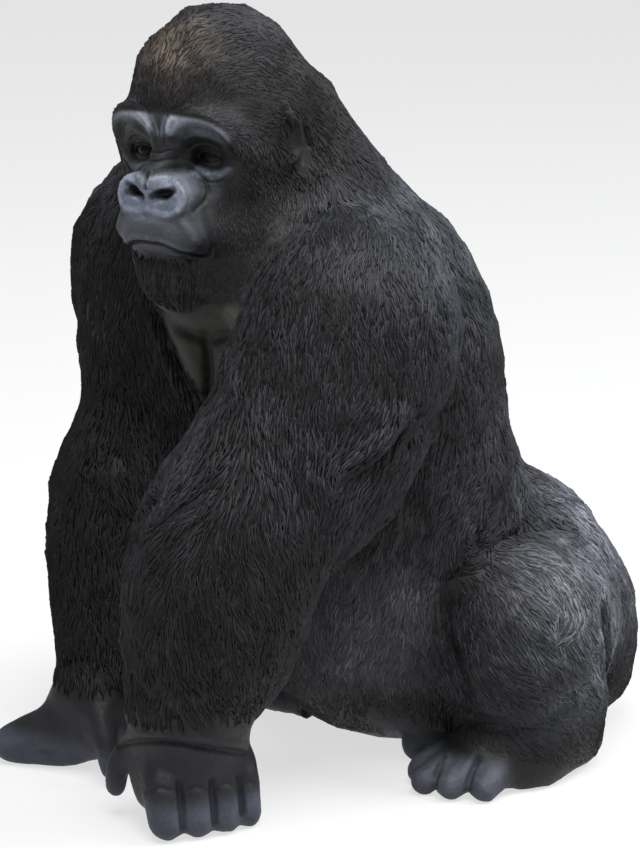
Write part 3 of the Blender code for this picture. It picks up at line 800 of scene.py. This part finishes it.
def layOfHair(surface):
    at, way, out = [], [], []

    def add(p, d, n):
        at.append(p)
        way.append(unit(d))
        out.append(n)

    for x1, y1, x2, y2 in [stroke for part in lieOfCoat.values() for stroke in part]:
        a, n = sight(surface, x1, y1)
        b, _ = sight(surface, x2, y2)
        if a is None or b is None:
            continue
        d = b - a
        d = d - n * (d @ n)
        middle = (a + b) / 2
        add(middle, d, n)
        flip = np.array((-1, 1, 1))
        head = headSpace(middle[None])[0]
        if np.linalg.norm(head / headRadii) < 1.15:
            tips = headSpace(np.array((a, b, a + n)))
            tips[:, 0] *= -1
            p, r, m = fromHead(tips)
            add((p + r) / 2, r - p, m - p)
        else:
            add(middle * flip, d * flip, n * flip)
    for x, y, z, dx, dy, dz in hiddenLie:
        for sign in (1, -1) if x else (1,):
            near, n, _, _ = surface.find_nearest(Vector((sign * x, y, z)))
            add(np.array(near), np.array((sign * dx, dy, dz), float), np.array(n))
    return np.array(at), np.array(way), np.array(out)


def flowAt(points, normals, guides):
    at, way, out = guides
    flow = np.empty((len(points), 3))
    for start in range(0, len(points), 20000):
        part = slice(start, start + 20000)
        p, n = points[part], normals[part]
        d2 = ((p[:, None] - at[None]) ** 2).sum(2)
        facing = np.clip(n @ out.T, 0.02, 1) ** 3
        weight = facing / (d2 + 40) ** 2
        mix = weight @ way
        mix = mix / weight.sum(1, keepdims=True)
        mix += (0, 0.02, -0.12)
        mix -= n * np.einsum("ij,ij->i", mix, n)[:, None]
        flow[part] = unit(mix)
    return flow


def coatShares(points):
    # how much each kind of coat holds at each point
    q = headSpace(points)
    x, y, z = points.T
    head = 1 - ease(np.linalg.norm(q / (48, 56, 60), axis=1), 0.95, 1.25)
    cheek = ball(oneSide(q), (26, 26, -34), (27, 30, 46), 0.4)
    brow = ball(oneSide(q), (20, 30, 24), (30, 26, 12), 0.5)
    arm = np.maximum(
        (1 - ease(z, 175, 240)) * ease(-y, 2, 22),
        ball(points, (98, -20, 200), (44, 44, 60), 0.7),
    )
    belly = ball(points, (0, 40, 80), (92, 62, 110), 0.3) * (1 - ease(-y, 8, 22))
    thigh = ball(oneSide(points), (86, 130, 72), (66, 74, 76), 0.4)
    ankle = ease(y, 20, 50) * (1 - ease(z, 38, 52)) * ease(np.abs(x), 70, 84)
    shares = {
        "back": np.full(len(points), 0.4),
        "belly": belly,
        "thigh": thigh * 1.5,
        "arm": arm * 1.6,
        "ankle": ankle * 3,
        "head": head * 3,
        "cheek": np.maximum(cheek * 6, brow * 5) * ease(q[:, 1], -2, 14),
    }
    total = sum(shares.values())
    return {name: share / total for name, share in shares.items()}


def blended(shares, key):
    return sum(share * coats[name][key] for name, share in shares.items())


def scatterRoots(points, corners, area, faceNormal, rng):
    # roots all over the haired skin, thinned to the gap that the coat has there
    a, b, c = (points[corners[:, k]] for k in range(3))
    count = int(area.sum() / hairLook["trial"])
    pick = rng.choice(len(area), count, p=area / area.sum())
    u = np.sqrt(rng.random(count))
    v = rng.random(count)
    root = a[pick] * (1 - u)[:, None] + b[pick] * (u * (1 - v))[:, None] + c[pick] * (u * v)[:, None]
    normal = faceNormal[pick]
    keep = bareness(root) < 0.35 + 0.3 * rng.random(count)
    keep = keep & (root[:, 2] > 4) & ((normal[:, 2] > -0.75) | (root[:, 2] > 14))
    root, pick = root[keep], pick[keep]
    shares = coatShares(root)
    gap = blended(shares, "gap") * 1
    gap = np.round(gap * 8) / 8
    chosen = []
    for size in np.unique(gap):
        index = np.flatnonzero(gap == size)
        cell = np.floor(root[index] / size).astype(np.int64)
        key = np.bitwise_xor.reduce(cell * cellPrimes, axis=1)
        _, first = np.unique(key, return_index=True)
        chosen.append(index[first])
    chosen = np.sort(np.concatenate(chosen))
    return root[chosen], pick[chosen], {name: share[chosen] for name, share in shares.items()}


def layStrokes(surface, root, pick, length, turn, flow, faceNormal):
    # three steps along the lie of the coat, each brought back onto the skin
    curl = hairLook["curl"] * cloud(root, 6, 22)
    stations, outward = [root], [faceNormal[pick]]
    here, face = root.copy(), pick.copy()
    for k, step in enumerate((0.3, 0.4, 0.3)):
        d = flow[face]
        side = np.cross(faceNormal[face], d)
        angle = turn + curl * (k - 1)
        d = d * np.cos(angle)[:, None] + side * np.sin(angle)[:, None]
        here = here + d * (length * step)[:, None]
        found = [surface.find_nearest(Vector(p)) for p in here.tolist()]
        here = np.array([f[0] for f in found])
        face = np.array([f[2] for f in found])
        stations.append(here)
        outward.append(faceNormal[face])
    return np.stack(stations, 1), np.stack(outward, 1)


# one stroke: a foot, two rings of left, right and ridge, and a tip
strokeFaces = np.array([
    (0, 3, 1), (0, 2, 3), (0, 1, 2),
    (1, 3, 6), (1, 6, 4), (3, 2, 5), (3, 5, 6), (2, 1, 4), (2, 4, 5),
    (4, 6, 7), (6, 5, 7), (5, 4, 7),
])
# edge value of each corner, low at the foot and the sides, high on the ridge: where the painted shade and
# the painted highlight go
strokeEdge = (0.0, 0.05, 0.05, 1.0, 0.05, 0.05, 0.95, 0.45)
strokeSwell = (0.0, 1.0, 0.85, 0.0)


def shapeStrokes(s, o, width, height):
    # corners of every stroke, from its four stations and the way out of the skin there
    o = unit(o + o.mean(1, keepdims=True))
    along = unit(s[:, 2] - s[:, 1])[:, None]
    across = unit(np.cross(o, np.broadcast_to(along, o.shape)))
    sink = hairLook["sink"]
    verts = np.empty((len(s), 8, 3))
    verts[:, 0] = s[:, 0] - o[:, 0] * sink
    for k in (1, 2):
        w = (width * strokeSwell[k] / 2)[:, None]
        verts[:, 3 * k - 2] = s[:, k] - across[:, k] * w - o[:, k] * sink
        verts[:, 3 * k - 1] = s[:, k] + across[:, k] * w - o[:, k] * sink
        verts[:, 3 * k] = s[:, k] + o[:, k] * (height * strokeSwell[k])[:, None]
    verts[:, 7] = s[:, 3] + o[:, 3] * (0.12 * height)[:, None]
    return verts


def strokeColours(root, rng):
    colour = hairColours(root) * rng.normal(1, hairLook["tones"], len(root)).clip(0.4, 2.0)[:, None]
    clump = 1 + 0.5 * cloud(root, 13, 31) + 0.35 * cloud(root, 5, 32)
    # painted shade darkens the strokes near the carved grooves
    return colour * (clump * (1 - grooveShadeLook["hair"] * grooveShade(root)))[:, None]


def growHair(skin):
    surface, points, corners = surfaceOf(skin.data)
    rng = np.random.default_rng(hairLook["seed"])
    a, b, c = (points[corners[:, k]] for k in range(3))
    cross = np.cross(b - a, c - a)
    area = np.linalg.norm(cross, axis=1) / 2
    faceNormal = unit(cross)
    guides = layOfHair(surface)
    flow = flowAt((a + b + c) / 3, faceNormal, guides)
    report("lie of the coat from %d guides" % len(guides[0]))

    root, pick, shares = scatterRoots(points, corners, area, faceNormal, rng)
    n = len(root)
    report("%d strokes of hair rooted" % n)

    length = blended(shares, "length") * rng.uniform(0.7, 1.25, n)
    width = blended(shares, "width") * rng.uniform(0.8, 1.25, n)
    height = blended(shares, "height") * rng.uniform(0.65, 1.3, n)
    fringe = 1 - 0.6 * ease(bareness(root), 0.02, 0.3)
    length, height = length * fringe, height * fringe
    turn = hairLook["wave"] * cloud(root, 9, 21) + hairLook["swerve"] * rng.normal(0, 1, n)
    stations, outward = layStrokes(surface, root, pick, length, turn, flow, faceNormal)
    report("strokes laid on the skin")

    clear = bareness(stations[:, 3]) < 0.6       # none lie across the naked skin
    verts = shapeStrokes(stations[clear], outward[clear], width[clear], height[clear])
    verts = np.clip(verts, toSculpt(cadBox[0]) + 0.02, toSculpt(cadBox[1]) - 0.02)
    colour = strokeColours(root[clear], rng)
    shares = {name: share[clear] for name, share in shares.items()}
    kinds = {
        "coat_head": shares["head"] + shares["cheek"],
        "coat_arms": shares["arm"],
        "coat_body": shares["back"] + shares["belly"],
        "coat_legs": shares["thigh"] + shares["ankle"],
    }
    kind = np.argmax(np.stack(list(kinds.values())), 0)
    limit = hairLook["pieceLimit"]
    made = []
    for k, name in enumerate(kinds):
        mine = np.flatnonzero(kind == k)
        for start in range(0, len(mine), limit):
            group = mine[start:start + limit]
            label = name if start == 0 else "%s_%d" % (name, start // limit + 1)
            made.append(strandPiece(label, verts[group], colour[group]))
    return made


def strandPiece(name, verts, colour):
    n = len(verts)
    faces = (strokeFaces[None] + (np.arange(n) * 8)[:, None, None]).reshape(-1, 3)
    mesh = bpy.data.meshes.new(name)
    mesh.vertices.add(n * 8)
    mesh.vertices.foreach_set("co", toMetres(verts.reshape(-1, 3)).astype(np.float32).ravel())
    mesh.loops.add(len(faces) * 3)
    mesh.loops.foreach_set("vertex_index", faces.astype(np.int32).ravel())
    mesh.polygons.add(len(faces))
    mesh.polygons.foreach_set("loop_start", (np.arange(len(faces)) * 3).astype(np.int32))
    mesh.update(calc_edges=True)
    mesh.validate()
    mesh.shade_smooth()
    storeColours(mesh, np.repeat(colour, 8, axis=0))
    storeValues(mesh, "edge", np.tile(strokeEdge, n))
    return place(name, mesh)


def makeEye(name, sign):
    form = eyeForm
    around, rows = 48, 30
    gaze = unit(fromHead((sign * form["spread"] + 2.5, form["forward"] + 30, -1))[0]
                - fromHead((sign * form["spread"], form["forward"], 0))[0])
    centre = fromHead((sign * form["spread"], form["forward"], form["up"]))[0]
    sideways = unit(np.cross(gaze, (0, 0, 1)))
    upward = np.cross(sideways, gaze)
    verts, faces = [centre + gaze * (form["radius"] + form["bulge"])], []
    polar = [0.0]
    for i in range(1, rows):
        t = math.pi * (i / rows) ** 1.5
        flat = form["radius"] * math.sin(t)
        bulge = form["bulge"] * max(0.0, 1 - (flat / form["cornea"]) ** 2) if t < 1 else 0
        for k in range(around):
            a = 2 * math.pi * k / around
            verts.append(centre + gaze * (form["radius"] * math.cos(t) + bulge)
                         + (sideways * math.cos(a) + upward * math.sin(a)) * flat)
            polar.append(flat if t < math.pi / 2 else 9)
    verts.append(centre - gaze * form["radius"])
    polar.append(9)
    for k in range(around):
        faces.append((0, 1 + k, 1 + (k + 1) % around))
        for i in range(rows - 2):
            a, b = 1 + i * around + k, 1 + i * around + (k + 1) % around
            faces.append((a, a + around, b + around, b))
        last = 1 + (rows - 2) * around
        faces.append((last + k, len(verts) - 1, last + (k + 1) % around))
    mesh = bpy.data.meshes.new(name)
    mesh.from_pydata([tuple(v) for v in toMetres(np.array(verts))], [], faces)
    mesh.shade_smooth()
    storeValues(mesh, "fromPupil", np.array(polar))
    return place(name, mesh)


def nodeGroup(name, inputs, outputs):
    group = bpy.data.node_groups.new(name, "ShaderNodeTree")
    for label, kind, value in inputs:
        socket = group.interface.new_socket(label, in_out="INPUT", socket_type=kind)
        socket.default_value = value
    for label, kind in outputs:
        group.interface.new_socket(label, in_out="OUTPUT", socket_type=kind)
    return group, group.nodes.new("NodeGroupInput"), group.nodes.new("NodeGroupOutput")


def node(tree, kind, **settings):
    made = tree.nodes.new(kind)
    for key, value in settings.items():
        setattr(made, key, value)
    return made


def feed(tree, made, values):
    # each value, a number or another node's output, into the input of that number
    for k, value in values.items():
        if isinstance(value, bpy.types.NodeSocket):
            tree.links.new(value, made.inputs[k])
        else:
            made.inputs[k].default_value = value
    return made


def mixed(tree, factor, a, b, how="MIX"):
    mix = node(tree, "ShaderNodeMix", data_type="RGBA", blend_type=how, clamp_factor=True)
    return feed(tree, mix, {0: factor, 6: a, 7: b}).outputs[2]


def sums(tree, how, a, b):
    return feed(tree, node(tree, "ShaderNodeMath", operation=how), {0: a, 1: b}).outputs[0]


def spread(tree, value, low, high, toLow=0.0, toHigh=1.0):
    made = node(tree, "ShaderNodeMapRange", interpolation_type="SMOOTHSTEP", clamp=True)
    return feed(tree, made, {0: value, 1: low, 2: high, 3: toLow, 4: toHigh}).outputs[0]


def noise(tree, scale, detail=2):
    made = node(tree, "ShaderNodeTexNoise", noise_dimensions="3D")
    return feed(tree, made, {"Scale": scale, "Detail": detail})


def newMaterial(name):
    material = bpy.data.materials.new(name)
    material.use_nodes = True
    return material, material.node_tree, material.node_tree.nodes["Principled BSDF"]


def paintedCast():
    # the cast's dark wash in the grooves, which is also painted shade, its pale dry brush on the ridges,
    # which is also painted highlight, and fine tooth all over
    group, start, end = nodeGroup(
        "painted_cast",
        [("Paint", "NodeSocketColor", (0.05, 0.05, 0.05, 1)), ("Edge", "NodeSocketFloat", 0.5),
         ("Wash And Shade", "NodeSocketFloat", 0.6), ("Dry Brush And Highlight", "NodeSocketFloat", 0.5),
         ("Grain Scale", "NodeSocketFloat", 900.0)],
        [("Color", "NodeSocketColor"), ("Roughness", "NodeSocketFloat"), ("Height", "NodeSocketFloat")],
    )
    links = group.links
    where = node(group, "ShaderNodeTexCoord")
    fine = noise(group, start.outputs["Grain Scale"], 4)
    broad = noise(group, 62, 3)
    for texture in (fine, broad):
        links.new(where.outputs["Object"], texture.inputs["Vector"])
    # painted shade with the wash: darker where the edge value is low, in the grooves
    low = spread(group, start.outputs["Edge"], 0.05, 0.46, 1.0, 0.0)
    washAndShade = sums(group, "MULTIPLY", low, start.outputs["Wash And Shade"])
    dark = mixed(group, 1.0, start.outputs["Paint"], (0.16, 0.16, 0.17, 1), "MULTIPLY")
    base = mixed(group, washAndShade, start.outputs["Paint"], dark)
    tooth = sums(group, "MULTIPLY", sums(group, "SUBTRACT", fine.outputs["Fac"], 0.5), 0.5)
    # painted highlight with the dry brush: paler where the edge value is high, on the ridges
    high = spread(group, sums(group, "ADD", start.outputs["Edge"], tooth), 0.56, 0.98)
    brush = sums(group, "MULTIPLY", high, start.outputs["Dry Brush And Highlight"])
    pale = mixed(group, 1.0, start.outputs["Paint"], start.outputs["Paint"], "ADD")
    pale = mixed(group, 1.0, pale, (0.012, 0.0125, 0.014, 1), "ADD")
    toned = mixed(group, brush, base, pale)
    patch = spread(group, broad.outputs["Fac"], 0.3, 0.7, 0.82, 1.16)
    speck = spread(group, fine.outputs["Fac"], 0.3, 0.72, 0.86, 1.12)
    both = sums(group, "MULTIPLY", patch, speck)
    shade = node(group, "ShaderNodeCombineColor")
    for k in range(3):
        links.new(both, shade.inputs[k])
    links.new(mixed(group, 1.0, toned, shade.outputs[0], "MULTIPLY"), end.inputs["Color"])
    links.new(spread(group, fine.outputs["Fac"], 0.25, 0.75, 0.5, 0.68), end.inputs["Roughness"])
    swell = sums(group, "MULTIPLY", broad.outputs["Fac"], 0.5)
    links.new(sums(group, "ADD", fine.outputs["Fac"], swell), end.inputs["Height"])
    return group


def resin(name, cast, look):
    material, tree, shader = newMaterial(name)
    shader.inputs["Specular IOR Level"].default_value = look["shine"]
    colour = node(tree, "ShaderNodeAttribute", attribute_name="paint")
    edge = node(tree, "ShaderNodeAttribute", attribute_name="edge")
    group = node(tree, "ShaderNodeGroup", node_tree=cast)
    feed(tree, group, {
        "Paint": colour.outputs["Color"],
        "Edge": edge.outputs["Fac"],
        "Wash And Shade": look["washAndShade"],
        "Dry Brush And Highlight": look["dryBrushAndHighlight"],
        "Grain Scale": look["grain"],
    })
    tree.links.new(group.outputs["Color"], shader.inputs["Base Color"])
    tree.links.new(group.outputs["Roughness"], shader.inputs["Roughness"])
    bump = node(tree, "ShaderNodeBump")
    bump.inputs["Strength"].default_value = look["bump"]
    bump.inputs["Distance"].default_value = 0.0004
    tree.links.new(group.outputs["Height"], bump.inputs["Height"])
    tree.links.new(bump.outputs["Normal"], shader.inputs["Normal"])
    return material


# grain is how many specks of tooth lie in a metre, the rest are strengths from 0 to 1; the wash and the dry
# brush are the cast's paint and also painted shade and painted highlight
skinLook = {"washAndShade": 0.85, "dryBrushAndHighlight": 0.5, "grain": 620, "bump": 0.35, "shine": 0.34}
coatLook = {"washAndShade": 0.95, "dryBrushAndHighlight": 0.6, "grain": 900, "bump": 0.3, "shine": 0.24}
eyeLook = {
    "pupil": 1.5,          # mm from the middle to its edge
    "iris": 4.0,
    "pupilColour": (4, 3, 3),
    "irisColour": (36, 27, 19),
    "whiteColour": (24, 20, 18),
    "roughness": 0.24,
    "shine": 0.14,
}


def eyeGlass():
    material, tree, shader = newMaterial("eye_gloss")
    feed(tree, shader, {"Roughness": eyeLook["roughness"], "Specular IOR Level": eyeLook["shine"]})
    distance = node(tree, "ShaderNodeAttribute", attribute_name="fromPupil").outputs["Fac"]
    streak = spread(tree, noise(tree, 1500).outputs["Fac"], 0.35, 0.65)
    pupil, bright, white = (opaque(eyeLook[key]) for key in ("pupilColour", "irisColour", "whiteColour"))
    iris = mixed(tree, streak, bright, opaque(eyeLook["irisColour"], 0.5))
    pupilEdge = spread(tree, distance, eyeLook["pupil"] - 0.15, eyeLook["pupil"] + 0.15)
    irisEdge = spread(tree, distance, eyeLook["iris"] - 0.5, eyeLook["iris"] + 0.2)
    outer = mixed(tree, irisEdge, mixed(tree, pupilEdge, pupil, iris), white)
    tree.links.new(outer, shader.inputs["Base Color"])
    return material


floorLook = {"radius": 16, "colour": (150, 150, 150), "glow": 0.66, "shine": 0.1}
lamps = [
    # name, azimuth, elevation, distance in m, size in m, power in W, colour
    ("lamp_above", 52, 65, 2.4, 1.5, 54, (1.0, 0.99, 0.98)),
    ("lamp_side", 134, 46, 2.4, 1.4, 44, (0.96, 0.98, 1.0)),
]
lampAim = (0, 0, 0.18)
worldLook = {"colour": (0.93, 0.96, 1.0), "strength": 0.27, "horizon": 0.76}


def makeFloor():
    bm = bmesh.new()
    bmesh.ops.create_circle(bm, cap_ends=True, segments=96, radius=floorLook["radius"])
    mesh = bpy.data.meshes.new("floor")
    bm.to_mesh(mesh)
    bm.free()
    floor = place("floor", mesh)
    material, tree, shader = newMaterial("pale_floor")
    grain = noise(tree, 40).outputs["Fac"]
    pale, dim = opaque(floorLook["colour"]), opaque(floorLook["colour"], 0.985)
    feed(tree, shader, {
        "Specular IOR Level": floorLook["shine"],
        "Base Color": mixed(tree, spread(tree, grain, 0.3, 0.7), pale, dim),
        "Roughness": spread(tree, grain, 0.3, 0.7, 0.8, 0.9),
    })
    glow = node(tree, "ShaderNodeEmission")
    glow.inputs["Color"].default_value = (1, 1, 1, 1)
    path = node(tree, "ShaderNodeLightPath")
    seen = sums(tree, "MAXIMUM", path.outputs["Is Camera Ray"], path.outputs["Is Glossy Ray"])
    seen = sums(tree, "MAXIMUM", seen, path.outputs["Is Transmission Ray"])
    tree.links.new(sums(tree, "MULTIPLY", seen, floorLook["glow"]), glow.inputs["Strength"])
    both = node(tree, "ShaderNodeAddShader")
    tree.links.new(shader.outputs[0], both.inputs[0])
    tree.links.new(glow.outputs[0], both.inputs[1])
    tree.links.new(both.outputs[0], tree.nodes["Material Output"].inputs["Surface"])
    mesh.materials.append(material)


def makeLight():
    aim = Vector(lampAim)
    for name, azimuth, elevation, distance, size, power, colour in lamps:
        data = bpy.data.lights.new(name, "AREA")
        data.shape = "DISK"
        data.size = size
        data.energy = power
        data.color = colour
        lamp = place(name, data)
        a, e = math.radians(azimuth), math.radians(elevation)
        back = Vector((math.sin(a) * math.cos(e), -math.cos(a) * math.cos(e), math.sin(e)))
        lamp.location = aim + back * distance
        lamp.rotation_euler = back.to_track_quat("Z", "Y").to_euler()


def makeWorld():
    # past the floor's edge the camera sees the same pale tone as on the floor
    world = bpy.data.worlds.new("studio")
    bpy.context.scene.world = world
    world.use_nodes = True
    tree = world.node_tree
    background, horizon = tree.nodes["Background"], node(tree, "ShaderNodeBackground")
    feed(tree, background, {"Color": worldLook["colour"] + (1,), "Strength": worldLook["strength"]})
    feed(tree, horizon, {"Color": (1, 1, 1, 1), "Strength": worldLook["horizon"]})
    path = node(tree, "ShaderNodeLightPath")
    blend = node(tree, "ShaderNodeMixShader")
    tree.links.new(path.outputs["Is Camera Ray"], blend.inputs[0])
    tree.links.new(background.outputs[0], blend.inputs[1])
    tree.links.new(horizon.outputs[0], blend.inputs[2])
    tree.links.new(blend.outputs[0], tree.nodes["World Output"].inputs["Surface"])


def makeCamera():
    back, right, up = viewAxes()
    width, height = view["frame"]
    data = bpy.data.cameras.new("camera")
    camera = place("camera", data)
    data.sensor_width = view["sensor"]
    data.lens = view["focal"] / height * view["sensor"]
    data.shift_x = (width / 2 - view["centre"][0]) / height
    data.shift_y = (view["centre"][1] - height / 2) / height
    data.dof.use_dof = False
    data.clip_end = view["farClip"]
    spot = toMetres(np.array(view["target"]) + view["distance"] * back)
    turn = Matrix((right, up, back)).transposed().to_4x4()
    camera.matrix_world = Matrix.Translation(Vector(spot)) @ turn
    bpy.context.scene.camera = camera


makeCamera()
makeLight()
makeWorld()
makeFloor()
bpy.context.scene.view_settings.view_transform = "Standard"
report("camera, light and floor")

skin = makeSkin()
cast = paintedCast()
paintSkin(skin.data, resin("painted_skin", cast, skinLook))
report("skin painted")

coat = growHair(skin)
coatPaint = resin("painted_coat", cast, coatLook)
for piece in coat:
    piece.data.materials.append(coatPaint)
report("coat: %s" % ", ".join("%s %d" % (p.name, len(p.data.polygons)) for p in coat))

gloss = eyeGlass()
eyes = [makeEye("eye_left", 1), makeEye("eye_right", -1)]
for eye in eyes:
    eye.data.materials.append(gloss)

for piece in [skin] + coat + eyes:
    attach(piece, "root")
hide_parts("gorilla_figurine")

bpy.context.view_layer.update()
report("sizes written")
